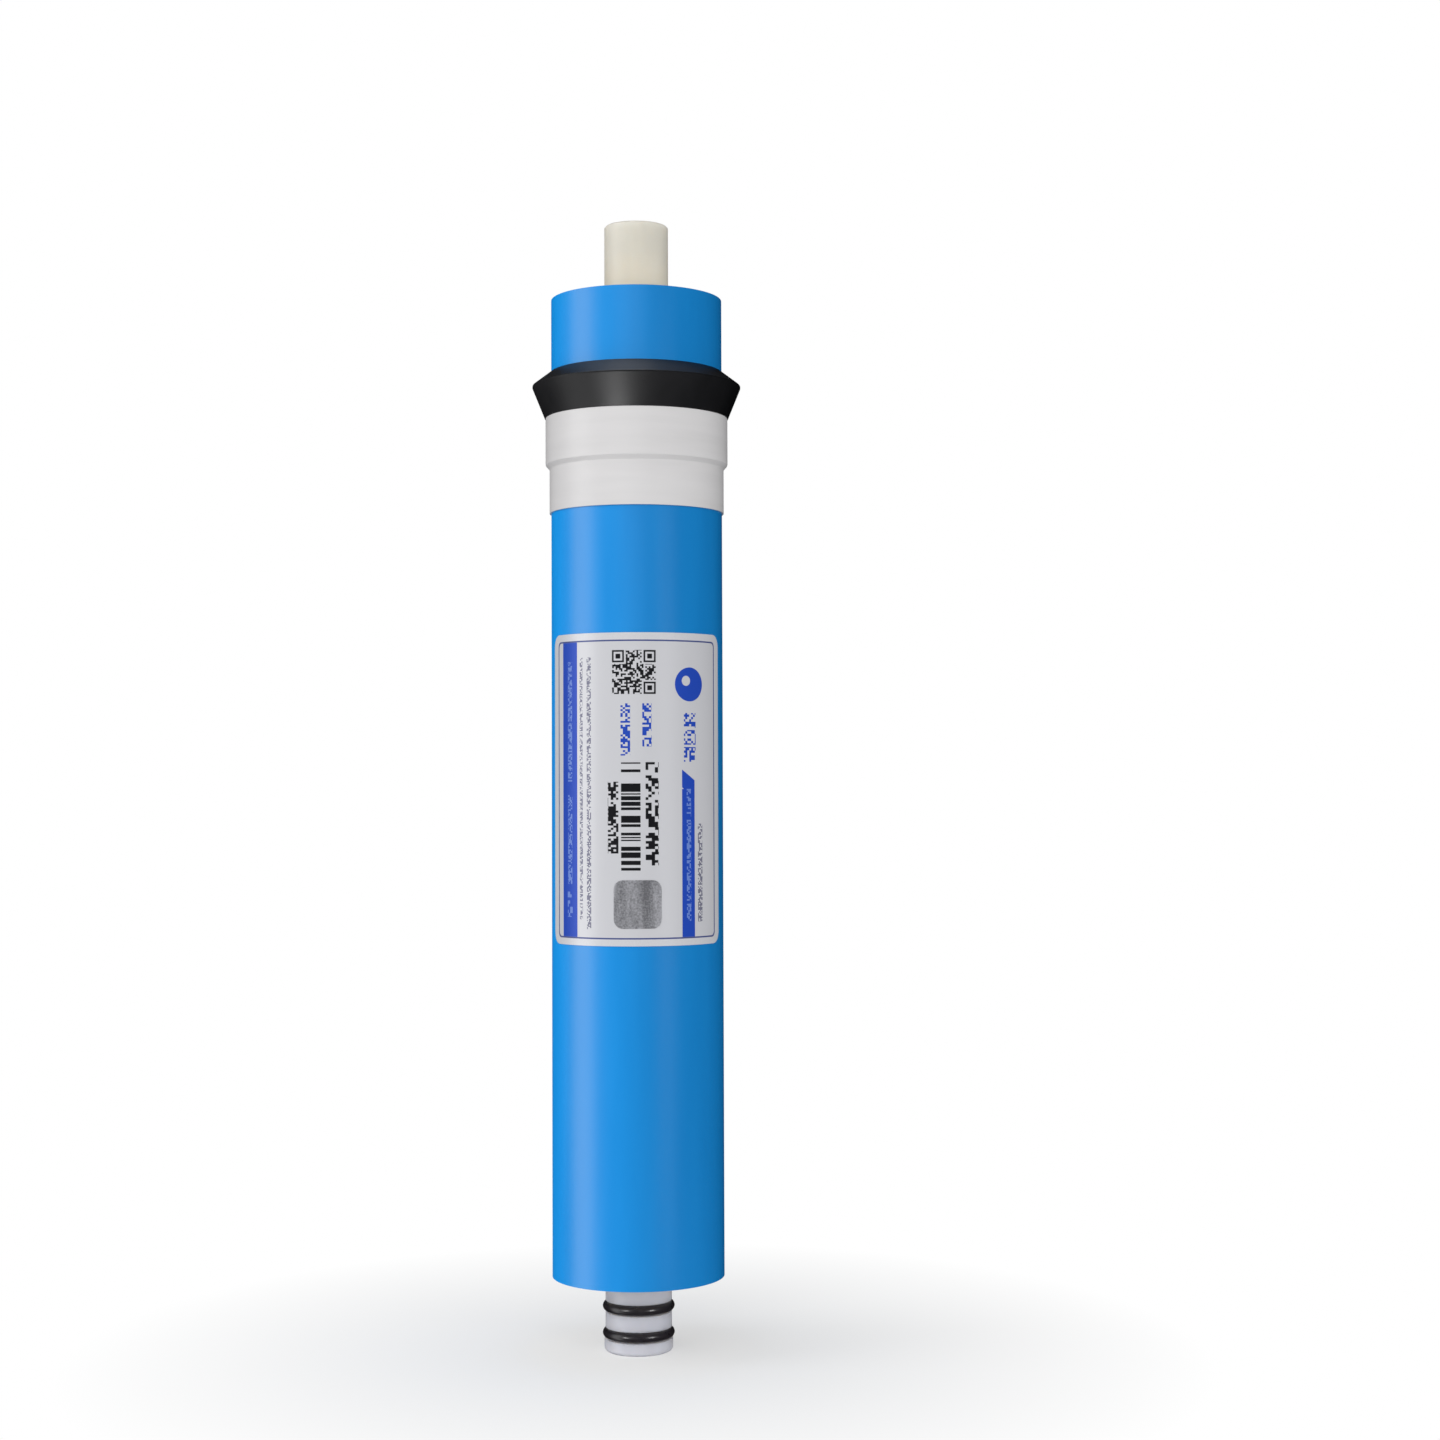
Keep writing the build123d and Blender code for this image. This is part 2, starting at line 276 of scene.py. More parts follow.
# Two O-rings of black nitrile rubber sit in the spigot's grooves. They are compression moulded, so a fine
# parting line runs round the outside of each. The rubber's grain is drawn at 1.1 mm, coarser than it is.
cord_sides = 28
parting_line = 0.03
o_ring_rubber, tree, skin, place = start_material("nitrile_rubber_black_moulded")
grain = add_node(tree, "ShaderNodeTexNoise", {"Vector": place, "Scale": 900.0, "Detail": 3.0})
colour = add_node(tree, "ShaderNodeMix", {0: grain.outputs[0], 6: to_linear("#161417"),
                                          7: to_linear("#242125")}, data_type="RGBA")
relief = add_node(tree, "ShaderNodeBump", {"Height": grain.outputs[0], "Strength": 0.2,
                                           "Distance": 0.03 * MM})
rough = add_node(tree, "ShaderNodeMapRange", {"Value": grain.outputs[0], "To Min": 0.24, "To Max": 0.34})
tree.links.new(colour.outputs[2], skin.inputs["Base Color"])
tree.links.new(relief.outputs[0], skin.inputs["Normal"])
tree.links.new(rough.outputs[0], skin.inputs["Roughness"])
skin.inputs["IOR"].default_value = 1.52
rings = []
for ring_name, height in o_ring_heights.items():
    cord_profile = []
    for part in range(cord_sides):
        turn = 2 * pi * part / cord_sides
        reach = o_ring_cord / 2 - (parting_line if part else 0)
        cord_profile.append((o_ring_centre + reach * cos(turn), height + reach * sin(turn)))
    ring = turn_profile(ring_name + "_moulded", cord_profile)
    bpy.ops.object.shade_smooth()
    ring.data.materials.append(o_ring_rubber)
    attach(ring, "root")
    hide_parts(ring_name)
    rings.append(ring)

# Blue film is wound round the roll in three turns that stick to each other. Its free edge runs straight up
# the back as a small step, and both of its ends are cut square.
body_radius = 22.7
film_turns = 3
film_sheet = 0.13
film_inner_radius = body_radius - film_turns * film_sheet
film_outer_side = (film_inner_radius + 0.1) * MM
film_edge_angle = 100.0
film_edge_lean = 0.03
film_blend_angle = 60.0
film_columns = 360
film = turn_profile("film", [
    (film_inner_radius, body_bottom),
    (body_radius, body_bottom),
    (body_radius, body_top),
    (film_inner_radius, body_top),
], steps=film_columns)
for vertex in film.data.vertices:
    radius = hypot(vertex.co.x, vertex.co.y)
    angle = degrees(atan2(vertex.co.y, vertex.co.x)) % 360
    past_edge = (angle - film_edge_angle + 0.01) % 360
    if radius > film_outer_side and past_edge < film_blend_angle:
        new_radius = radius - film_sheet * MM * (1 - past_edge / film_blend_angle)
        vertex.co.x *= new_radius / radius
        vertex.co.y *= new_radius / radius
    elif radius > film_outer_side and past_edge > 359.9 - 360 / film_columns:
        free_edge = radians(film_edge_angle - film_edge_lean)
        vertex.co.x = radius * cos(free_edge)
        vertex.co.y = radius * sin(free_edge)
soften_edges(film, 0.06, smooth_angle=20)

# Blue polyester tape film: glossy, with a very slight ripple from winding, about 6 mm wide and 50 mm long.
blue_film, tree, skin, place = start_material("polyester_film_blue_glossy")
stretch = add_node(tree, "ShaderNodeMapping", {"Vector": place, "Scale": (1.0, 1.0, 0.12)})
ripple = add_node(tree, "ShaderNodeTexNoise", {"Vector": stretch.outputs[0], "Scale": 170.0, "Detail": 3.0})
colour = add_node(tree, "ShaderNodeMix", {0: ripple.outputs[0], 6: to_linear("#0076BC"),
                                          7: to_linear("#027EC5")}, data_type="RGBA")
relief = add_node(tree, "ShaderNodeBump", {"Height": ripple.outputs[0], "Strength": 0.1,
                                           "Distance": 0.08 * MM})
rough = add_node(tree, "ShaderNodeMapRange", {"Value": ripple.outputs[0], "To Min": 0.31, "To Max": 0.37})
tree.links.new(colour.outputs[2], skin.inputs["Base Color"])
tree.links.new(relief.outputs[0], skin.inputs["Normal"])
tree.links.new(rough.outputs[0], skin.inputs["Roughness"])
skin.inputs["IOR"].default_value = 1.5
skin.inputs["Specular IOR Level"].default_value = 0.5
skin.inputs["Coat Weight"].default_value = 0.16
skin.inputs["Coat Roughness"].default_value = 0.3
skin.inputs["Coat IOR"].default_value = 1.5
film.data.materials.append(blue_film)
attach(film, "root")
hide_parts("outer_wrap")

# The brine seal is a ring of black rubber, moulded in one piece: a thin skirt lies on the film under the
# tape, and a solid nose with a sharp tip stands out to close the gap to the housing.
seal_inner = body_radius + gap
seal_stand_out = 5.0
seal_radius = body_radius + seal_stand_out
seal_from_top = 19.2
nose_slope = 4.0
nose_cone = 8.4
tip_half = 0.225
skirt_thickness = 1.04
skirt_length = 12.2
skirt_outer = seal_inner + skirt_thickness
nose_top = body_top - seal_from_top
nose_tip = nose_top - nose_slope
nose_bottom = nose_tip - nose_cone
skirt_bottom = nose_bottom - skirt_length
tape_inner = skirt_outer + gap
tape_band = 0.45
seal = turn_profile("seal", [
    (seal_inner, skirt_bottom),
    (skirt_outer, skirt_bottom),
    (skirt_outer, nose_bottom),
    (tape_inner + tape_band + 0.15, nose_bottom),
    (seal_radius, nose_tip - tip_half),
    (seal_radius, nose_tip + tip_half),
    (seal_inner, nose_top),
], steps=192)
soften_edges(seal, 0.12, smooth_angle=28)

# Moulded EPDM rubber, black: satin, with an even grain, drawn at 0.7 mm so that it shows, and a faint grey
# bloom in patches of 11 mm.
seal_rubber, tree, skin, place = start_material("EPDM_rubber_black_satin")
grain = add_node(tree, "ShaderNodeTexNoise", {"Vector": place, "Scale": 1400.0, "Detail": 2.0})
bloom = add_node(tree, "ShaderNodeTexNoise", {"Vector": place, "Scale": 90.0, "Detail": 4.0})
colour = add_node(tree, "ShaderNodeMix", {0: bloom.outputs[0], 6: to_linear("#0A0A0B"),
                                          7: to_linear("#19191B")}, data_type="RGBA")
relief = add_node(tree, "ShaderNodeBump", {"Height": grain.outputs[0], "Strength": 0.2,
                                           "Distance": 0.04 * MM})
rough = add_node(tree, "ShaderNodeMapRange", {"Value": bloom.outputs[0], "To Min": 0.38, "To Max": 0.5})
tree.links.new(colour.outputs[2], skin.inputs["Base Color"])
tree.links.new(relief.outputs[0], skin.inputs["Normal"])
tree.links.new(rough.outputs[0], skin.inputs["Roughness"])
skin.inputs["IOR"].default_value = 1.5
skin.inputs["Specular IOR Level"].default_value = 0.26
seal.data.materials.append(seal_rubber)
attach(seal, "root")
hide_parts("brine_seal")

# White vinyl tape, three turns thick, holds the seal's skirt. It runs on down over the film, so it steps in
# softly at the skirt's lower edge. The free end of its last turn shows at the back.
tape_top = nose_bottom - gap
tape_below_skirt = 13.1
tape_bottom = skirt_bottom - tape_below_skirt
tape_layer = 0.15
tape_step = 1.5
tape_edge_angle = 70.0
tape_gap_angle = 45.0
tape_edge_lean = 0.06
tape = turn_profile("tape", [
    (seal_inner, tape_bottom),
    (seal_inner + tape_band, tape_bottom),
    (seal_inner + tape_band, skirt_bottom - tape_step),
    (seal_inner + tape_band + 0.12, skirt_bottom - 1.2),
    (tape_inner + tape_band - 0.1, skirt_bottom - 0.25),
    (tape_inner + tape_band, skirt_bottom + 0.1),
    (tape_inner + tape_band, tape_top),
    (tape_inner, tape_top),
    (tape_inner, skirt_bottom - gap),
    (seal_inner, skirt_bottom - tape_step),
], steps=360)
step_bottom = (skirt_bottom - 1.4) * MM
step_top = (skirt_bottom - 0.1) * MM
for vertex in tape.data.vertices:
    radius = hypot(vertex.co.x, vertex.co.y)
    angle = degrees(atan2(vertex.co.y, vertex.co.x)) % 360
    inner_side = seal_inner if vertex.co.z < step_bottom else tape_inner
    if step_bottom < vertex.co.z < step_top:
        inner_side = seal_inner + 0.5
    if radius > (inner_side + 0.05) * MM and tape_edge_angle < angle < tape_edge_angle + tape_gap_angle:
        turn = radians(min(max(angle, tape_edge_angle + tape_edge_lean),
                           tape_edge_angle + tape_gap_angle - tape_edge_lean))
        vertex.co.x = (radius - tape_layer * MM) * cos(turn)
        vertex.co.y = (radius - tape_layer * MM) * sin(turn)
soften_edges(tape, 0.05, smooth_angle=24)

# White PVC tape: a soft gloss, faint wrap marks that run round it, about 28 mm long and 3 mm high, and a
# slightly uneven backing.
white_tape, tree, skin, place = start_material("PVC_tape_white_soft_gloss")
stretch = add_node(tree, "ShaderNodeMapping", {"Vector": place, "Scale": (0.3, 0.3, 3.0)})
marks = add_node(tree, "ShaderNodeTexNoise", {"Vector": stretch.outputs[0], "Scale": 120.0, "Detail": 4.0})
colour = add_node(tree, "ShaderNodeMix", {0: marks.outputs[0], 6: to_linear("#CAC8C8"),
                                          7: to_linear("#D6D4D4")}, data_type="RGBA")
relief = add_node(tree, "ShaderNodeBump", {"Height": marks.outputs[0], "Strength": 0.15,
                                           "Distance": 0.06 * MM})
tree.links.new(colour.outputs[2], skin.inputs["Base Color"])
tree.links.new(relief.outputs[0], skin.inputs["Normal"])
skin.inputs["Roughness"].default_value = 0.36
skin.inputs["IOR"].default_value = 1.5
tape.data.materials.append(white_tape)
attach(tape, "root")
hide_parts("seal_tape")

# The foil label and the small silver sticker on it are thin sheets cut with rounded corners and stuck round
# the front of the body.
label_width = 55.0
label_height = 80.5
label_corner = 3.2
label_below_middle = 0.95
label_bottom = body_bottom + (body_length - label_height) / 2 - label_below_middle
label_middle = label_bottom + label_height / 2
label_turn = radians(1.6)
label_inner = body_radius + gap
label_thickness = 0.12
bend_width = 0.8


def bend_sheet(name, width, height, corner, bottom, inner_radius, thickness, turn):
    """A sheet cut flat with rounded corners, given its thickness and bent round the body at the front."""
    piece = start_mesh(name, 1)
    bpy.ops.transform.resize(value=(width * MM, height * MM, 1))
    bpy.ops.mesh.bevel(offset=corner * MM, segments=8, affect="VERTICES", clamp_overlap=False)
    columns = int(width / bend_width)
    for column in range(1, columns):
        bpy.ops.mesh.select_all(action="SELECT")
        bpy.ops.mesh.bisect(plane_co=((column / columns - 0.5) * width * MM, 0, 0), plane_no=(1, 0, 0))
    bpy.ops.mesh.select_all(action="SELECT")
    bpy.ops.mesh.extrude_region_move(TRANSFORM_OT_translate={"value": (0, 0, thickness * MM)})
    finish_mesh()
    for vertex in piece.data.vertices:
        angle = vertex.co.x / (inner_radius * MM) - turn
        radius = inner_radius * MM + vertex.co.z
        height_now = (bottom + height / 2) * MM + vertex.co.y
        vertex.co = (radius * sin(angle), -radius * cos(angle), height_now)
    return piece


label = bend_sheet("foil_label", label_width, label_height, label_corner, label_bottom, label_inner,
                   label_thickness, label_turn)
soften_edges(label, 0.02, smooth_angle=30)

# Silver-white polyester label, printed in blue and black and laminated: a soft gloss over a fine metallic
# grain of about 0.5 mm. The print is drawn as plain fields on the unrolled sheet, in millimetres.
label_foil, tree, skin, place = start_material("polyester_label_silver_printed")
axes = add_node(tree, "ShaderNodeSeparateXYZ", {0: place})
front = add_node(tree, "ShaderNodeMath", {0: axes.outputs["Y"], 1: -1.0}, operation="MULTIPLY")
angle = add_node(tree, "ShaderNodeMath", {0: axes.outputs["X"], 1: front.outputs[0]}, operation="ARCTAN2")
across = add_node(tree, "ShaderNodeMath", {0: angle.outputs[0], 1: label_inner, 2: label_turn * label_inner},
                  operation="MULTIPLY_ADD")
up = add_node(tree, "ShaderNodeMath", {0: axes.outputs["Z"], 1: 1 / MM, 2: -label_middle},
              operation="MULTIPLY_ADD")
sheet = add_node(tree, "ShaderNodeCombineXYZ", {"X": across.outputs[0], "Y": up.outputs[0]})
grain = add_node(tree, "ShaderNodeTexNoise", {"Vector": sheet.outputs[0], "Scale": 2.2, "Detail": 5.0})
foil = add_node(tree, "ShaderNodeMix", {0: grain.outputs[0], 6: to_linear("#CBCBCF"),
                                        7: to_linear("#D9D9DD")}, data_type="RGBA")
paper = foil.outputs[2]
print_blue = to_linear("#2049B8")
print_black = to_linear("#1B1B1F")
print_grey = to_linear("#77778A")
frame_ink = to_linear("#49548A")
silver = to_linear("#CECED2")
band_text = to_linear("#6E8AD2")
print_softness = 0.03
blank_share = 0.45
square_left, square_right, square_bottom, square_top = -5.9, 5.4, 24.4, 35.7
corner_square = 3.15
# Left, right, bottom and top of each field, its corner radius, how much its ends slope, its ink, and the
# width and height of the small cells that break it into marks
print_fields = [
    (-24.75, 24.95, -38.5, 38.4, 1.4, 0, frame_ink, None),
    (-24.3, 24.5, -38.1, 38.0, 1.2, 0, silver, None),
    (-22.2, -16.4, -38.1, 38.0, 0.1, 0, print_blue, None),
    (-20.0, -18.3, 2.0, 33.0, 0.1, 0, band_text, (0.45, 0.4)),
    (-20.0, -18.3, -24.5, -1.5, 0.1, 0, band_text, (0.45, 0.4)),
    (-20.2, -18.2, -33.0, -26.5, 0.1, 0, band_text, (0.6, 0.8)),
    (-15.5, -14.5, -33.5, 34.0, 0.1, 0, print_grey, (0.34, 0.3)),
    (-13.2, -11.9, -36.0, 34.0, 0.1, 0, print_grey, (0.34, 0.3)),
    (-7.1, -4.3, -16.5, 1.9, 0.1, 0, print_black, (0.7, 0.55)),
    (-3.6, 1.4, -21.1, 7.2, 0.1, 0, print_black, (0, 0.36)),
    (-3.7, -1.2, 8.6, 22.0, 0.1, 0, print_blue, (0.62, 0.5)),
    (1.9, 4.3, 10.9, 22.0, 0.1, 0, print_blue, (0.6, 0.55)),
    (2.7, 6.1, -19.6, 6.9, 0.1, 0, print_black, (0.85, 0.7)),
    (square_left, square_right, square_bottom, square_top, 0.1, 0, print_black, (0.45, 0.45)),
    (12.6, 16.6, -38.1, 0, 0.1, 0, print_blue, None),
    (12.6, 16.6, -1.0, 3.6, 0.1, 0.7, print_blue, None),
    (14.0, 15.4, -34.0, 0.0, 0.1, 0, band_text, (0.45, 0.4)),
    (17.7, 19.4, -34.3, -9.0, 0.1, 0, print_grey, (0.42, 0.36)),
    (13.2, 17.0, 15.8, 19.6, 0.1, 0, print_blue, (0.62, 0.62)),
    (13.2, 17.0, 11.4, 15.2, 0.1, 0, print_blue, (0.62, 0.62)),
    (13.2, 17.0, 7.0, 10.8, 0.1, 0, print_blue, (0.62, 0.62)),
    (10.6, 19.4, 22.6, 31.4, 4.4, 0, print_blue, None),
    (12.6, 15.2, 26.6, 29.2, 1.3, 0, silver, None),
]
# Framed squares in three corners of the square field of marks
for left, bottom in ((square_left, square_top - corner_square),
                     (square_right - corner_square, square_top - corner_square),
                     (square_right - corner_square, square_bottom)):
    for inset, ink in ((-0.45, silver), (0.0, print_black), (0.45, silver), (0.95, print_black)):
        print_fields.append((left + inset, left + corner_square - inset, bottom + inset,
                             bottom + corner_square - inset, 0.1, 0, ink, None))
for left, right, bottom, top, corner, slope, ink, cells in print_fields:
    centre = ((left + right) / 2, (bottom + top) / 2, 0)
    half = ((right - left) / 2 - corner, (top - bottom) / 2 - corner, 1)
    shifted = add_node(tree, "ShaderNodeVectorMath", {0: sheet.outputs[0], 1: centre}, operation="SUBTRACT")
    if slope:
        tilt = add_node(tree, "ShaderNodeVectorMath", {0: shifted.outputs[0], 1: (slope, 0, 0)},
                        operation="DOT_PRODUCT")
        rise = add_node(tree, "ShaderNodeCombineXYZ", {"Y": tilt.outputs["Value"]})
        shifted = add_node(tree, "ShaderNodeVectorMath", {0: shifted.outputs[0], 1: rise.outputs[0]},
                           operation="ADD")
    folded = add_node(tree, "ShaderNodeVectorMath", {0: shifted.outputs[0]}, operation="ABSOLUTE")
    beyond = add_node(tree, "ShaderNodeVectorMath", {0: folded.outputs[0], 1: half}, operation="SUBTRACT")
    outside = add_node(tree, "ShaderNodeVectorMath", {0: beyond.outputs[0], 1: (0, 0, 0)},
                       operation="MAXIMUM")
    distance = add_node(tree, "ShaderNodeVectorMath", {0: outside.outputs[0]}, operation="LENGTH")
    inked = add_node(tree, "ShaderNodeMapRange", {"Value": distance.outputs["Value"],
                                                  "From Min": corner + print_softness,
                                                  "From Max": corner - print_softness})
    cover = inked.outputs[0]
    if cells:
        cell = add_node(tree, "ShaderNodeVectorMath", {0: sheet.outputs[0], 1: (*cells, 0.0)},
                        operation="SNAP")
        chance = add_node(tree, "ShaderNodeTexWhiteNoise", {"Vector": cell.outputs[0]},
                          noise_dimensions="3D")
        stroke = add_node(tree, "ShaderNodeMath", {0: chance.outputs[0], 1: blank_share},
                          operation="GREATER_THAN")
        printed = add_node(tree, "ShaderNodeMath", {0: cover, 1: stroke.outputs[0]}, operation="MULTIPLY")
        cover = printed.outputs[0]
    layer = add_node(tree, "ShaderNodeMix", {0: cover, 6: paper, 7: ink}, data_type="RGBA")
    paper = layer.outputs[2]
tree.links.new(paper, skin.inputs["Base Color"])
relief = add_node(tree, "ShaderNodeBump", {"Height": grain.outputs[0], "Strength": 0.08,
                                           "Distance": 0.03 * MM})
tree.links.new(relief.outputs[0], skin.inputs["Normal"])
skin.inputs["Metallic"].default_value = 0.15
skin.inputs["Roughness"].default_value = 0.38
label.data.materials.append(label_foil)
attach(label, "root")
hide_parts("label")

sticker_side = 12.4
sticker_corner = 2.4
sticker_thickness = 0.08
sticker_above_edge = 4.5
sticker_inner = label_inner + label_thickness + gap
sticker = bend_sheet("silver_sticker", sticker_side, sticker_side, sticker_corner,
                     label_bottom + sticker_above_edge, sticker_inner, sticker_thickness, 0.0)
soften_edges(sticker, 0.015, smooth_angle=30)

# Embossed polyester foil, silver: a granular stamp, drawn at 0.45 mm so that it shows, and soft upright
# streaks about 2.4 mm wide, so that it glints in flecks.
sticker_foil, tree, skin, place = start_material("polyester_foil_silver_embossed")
stretch = add_node(tree, "ShaderNodeMapping", {"Vector": place, "Scale": (1.0, 1.0, 0.15)})
streaks = add_node(tree, "ShaderNodeTexNoise", {"Vector": stretch.outputs[0], "Scale": 420.0, "Detail": 2.0})
flecks = add_node(tree, "ShaderNodeTexNoise", {"Vector": place, "Scale": 2200.0, "Detail": 3.0})
blend = add_node(tree, "ShaderNodeMath", {0: streaks.outputs[0], 1: flecks.outputs[0]}, operation="ADD")
tone = add_node(tree, "ShaderNodeMapRange", {"Value": blend.outputs[0], "From Min": 0.75, "From Max": 1.25})
colour = add_node(tree, "ShaderNodeMix", {0: tone.outputs[0], 6: to_linear("#85858A"),
                                          7: to_linear("#CBCBD1")}, data_type="RGBA")
relief = add_node(tree, "ShaderNodeBump", {"Height": blend.outputs[0], "Strength": 0.3,
                                           "Distance": 0.05 * MM})
tree.links.new(colour.outputs[2], skin.inputs["Base Color"])
tree.links.new(relief.outputs[0], skin.inputs["Normal"])
skin.inputs["Metallic"].default_value = 0.5
skin.inputs["Roughness"].default_value = 0.35
sticker.data.materials.append(sticker_foil)
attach(sticker, "root")
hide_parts("security_sticker")

# The roll is made of three sheets that are wound on the tube together and show at its two open ends. Tricot
# cloth goes on first, and the membrane leaf follows it: two membranes glued back to back with cloth between.
roll_recess = 0.9
roll_bottom = body_bottom + roll_recess
roll_top = body_top - roll_recess
carrier_sheet = 0.33
carrier_pitch = 0.51
carrier_start = tube_radius + gap
membrane_sheet = 0.15
leaf_sheet = 0.63
net_sheet = 0.86
leaf_start = 9.13
leaf_half_turns = 15
room_under_film = 0.05
winding_room = film_inner_radius - room_under_film - leaf_start
winding_pitch = 2 * (winding_room - (leaf_sheet + net_sheet) / 2) / leaf_half_turns


def wind_sheet(name, profile, pitch, half_turns):
    """A sheet's section, wound on in half circles about two centres a quarter of the pitch off the axis."""
    piece = draw_profile(name, profile)
    bpy.ops.mesh.edge_face_add()
    for half in range(half_turns):
        side = 1 if half % 2 else -1
        bpy.ops.mesh.spin(steps=36, angle=-pi, center=(side * pitch / 4 * MM, 0, 0), axis=(0, 0, 1))
    finish_mesh()
    return piece


carrier = wind_sheet("tricot_cloth", [
    (carrier_start, roll_bottom),
    (carrier_start + carrier_sheet, roll_bottom),
    (carrier_start + carrier_sheet, roll_top),
    (carrier_start, roll_top),
], carrier_pitch, half_turns=2)
bpy.ops.object.shade_smooth_by_angle(angle=radians(30))

# Polyester tricot, stiffened with resin: white, knitted, with stitches about 0.5 mm across.
tricot, tree, skin, place = start_material("polyester_tricot_white_stiffened")
knit = add_node(tree, "ShaderNodeTexVoronoi", {"Vector": place, "Scale": 1 / (0.5 * MM)})
stitch = knit.outputs["Distance"]
colour = add_node(tree, "ShaderNodeMix", {0: stitch, 6: to_linear("#EFEDE6"), 7: to_linear("#CFCBBE")},
                  data_type="RGBA")
relief = add_node(tree, "ShaderNodeBump", {"Height": stitch, "Strength": 0.5, "Distance": 0.1 * MM})
tree.links.new(colour.outputs[2], skin.inputs["Base Color"])
tree.links.new(relief.outputs[0], skin.inputs["Normal"])
skin.inputs["Roughness"].default_value = 0.6
carrier.data.materials.append(tricot)
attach(carrier, "root")
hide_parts("permeate_carrier")

# At both ends the leaf's two membranes stand a little proud of the line of glue that seals the cloth between
# them. A fold of the membrane joins it to the next turn at its inner edge.
glue_sink = 0.25
glue_inner = leaf_start + membrane_sheet
glue_outer = leaf_start + leaf_sheet - membrane_sheet
glue_slope = 0.02
leaf = wind_sheet("membrane_roll", [
    (leaf_start, roll_bottom),
    (glue_inner, roll_bottom),
    (glue_inner + glue_slope, roll_bottom + glue_sink),
    (glue_outer - glue_slope, roll_bottom + glue_sink),
    (glue_outer, roll_bottom),
    (leaf_start + leaf_sheet, roll_bottom),
    (leaf_start + leaf_sheet, roll_top),
    (glue_outer, roll_top),
    (glue_outer - glue_slope, roll_top - glue_sink),
    (glue_inner + glue_slope, roll_top - glue_sink),
    (glue_inner, roll_top),
    (leaf_start, roll_top),
], winding_pitch, leaf_half_turns)
fold_radius = (winding_pitch - leaf_sheet) / 2
fold_turn = pi * 0.86
start_mesh("membrane_fold", 1)
bpy.ops.transform.resize(value=(membrane_sheet * MM, (roll_top - roll_bottom - 2 * gap) * MM, 1))
bpy.ops.transform.rotate(value=pi / 2, orient_axis="X", center_override=(0, 0, 0))
bpy.ops.transform.translate(value=((leaf_start + leaf_sheet - membrane_sheet / 2) * MM, 0,
                                   (roll_top + roll_bottom) / 2 * MM))
bpy.ops.mesh.spin(steps=12, angle=-fold_turn, center=((leaf_start + leaf_sheet + fold_radius) * MM, 0, 0),
                  axis=(0, 0, 1))
finish_mesh()
leaf.select_set(True)
bpy.context.view_layer.objects.active = leaf
bpy.ops.object.join()
bpy.ops.object.shade_smooth_by_angle(angle=radians(30))

# Membrane on a polyester backing, cast as sheet: cream and matt, with a fine felted grain of about 0.3 mm.
membrane, tree, skin, place = start_material("polyamide_membrane_cream")
felt = add_node(tree, "ShaderNodeTexNoise", {"Vector": place, "Scale": 1 / (0.3 * MM), "Detail": 3.0})
colour = add_node(tree, "ShaderNodeMix", {0: felt.outputs[0], 6: to_linear("#D5CAA9"),
                                          7: to_linear("#F0E9D6")}, data_type="RGBA")
relief = add_node(tree, "ShaderNodeBump", {"Height": felt.outputs[0], "Strength": 0.4,
                                           "Distance": 0.06 * MM})
tree.links.new(colour.outputs[2], skin.inputs["Base Color"])
tree.links.new(relief.outputs[0], skin.inputs["Normal"])
skin.inputs["Roughness"].default_value = 0.62
leaf.data.materials.append(membrane)

# Polyurethane glue, poured and cured: amber and glossy, in clouds of 2 to 3 mm, darker where it is thick.
glue, tree, skin, place = start_material("polyurethane_glue_amber_cured")
flow = add_node(tree, "ShaderNodeTexNoise", {"Vector": place, "Scale": 420.0, "Detail": 2.0})
colour = add_node(tree, "ShaderNodeMix", {0: flow.outputs[0], 6: to_linear("#94642A"),
                                          7: to_linear("#C79B58")}, data_type="RGBA")
relief = add_node(tree, "ShaderNodeBump", {"Height": flow.outputs[0], "Strength": 0.5, "Distance": 0.1 * MM})
tree.links.new(colour.outputs[2], skin.inputs["Base Color"])
tree.links.new(relief.outputs[0], skin.inputs["Normal"])
skin.inputs["Roughness"].default_value = 0.28
leaf.data.materials.append(glue)
for face in leaf.data.polygons:
    sunk = min(face.center.z / MM - roll_bottom, roll_top - face.center.z / MM)
    face.material_index = 1 if 0.4 * glue_sink < sunk < 1.2 * glue_sink and abs(face.normal.z) > 0.5 else 0
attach(leaf, "root")
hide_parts("membrane_leaf")

# The feed spacer is an extruded net of two layers of strands that cross each other, and it keeps the feed
# channel open. Behind its cut strands at the ends, the rest of the net shows as one sheet deeper in the roll.
net_trim = 0.35
strand_depth = 1.1
strand_root = 0.1
strand_spacing = 2.6
strand_radius = 0.21
strand_flattening = 1.3
net_start = leaf_start + winding_pitch / 2 + (leaf_sheet - net_sheet) / 2
net_bottom = roll_bottom + net_trim
net_top = roll_top - net_trim
net = wind_sheet("net_roll", [
    (net_start, net_bottom + strand_depth),
    (net_start + net_sheet, net_bottom + strand_depth),
    (net_start + net_sheet, net_top - strand_depth),
    (net_start, net_top - strand_depth),
], winding_pitch, leaf_half_turns - 1)
bpy.ops.object.select_all(action="DESELECT")
strands = []
strand_length = strand_depth + strand_root
top_low = net_top - strand_length
for low, layer in ((net_bottom, 0), (net_bottom, 1), (top_low, 0), (top_low, 1)):
    bpy.ops.mesh.primitive_cylinder_add(vertices=8, radius=strand_radius * MM, depth=strand_length * MM,
                                        location=((net_start + net_sheet * (1 + 2 * layer) / 4) * MM, 0,
                                                  (low + strand_length / 2) * MM))
    strand = bpy.context.object
    bpy.ops.object.transform_apply(location=True, rotation=True, scale=True)
    lean = 1 if layer else -1
    for vertex in strand.data.vertices:
        vertex.co.y = vertex.co.y * strand_flattening + lean * (vertex.co.z - (low + strand_depth / 2) * MM)
    strands.append(strand)
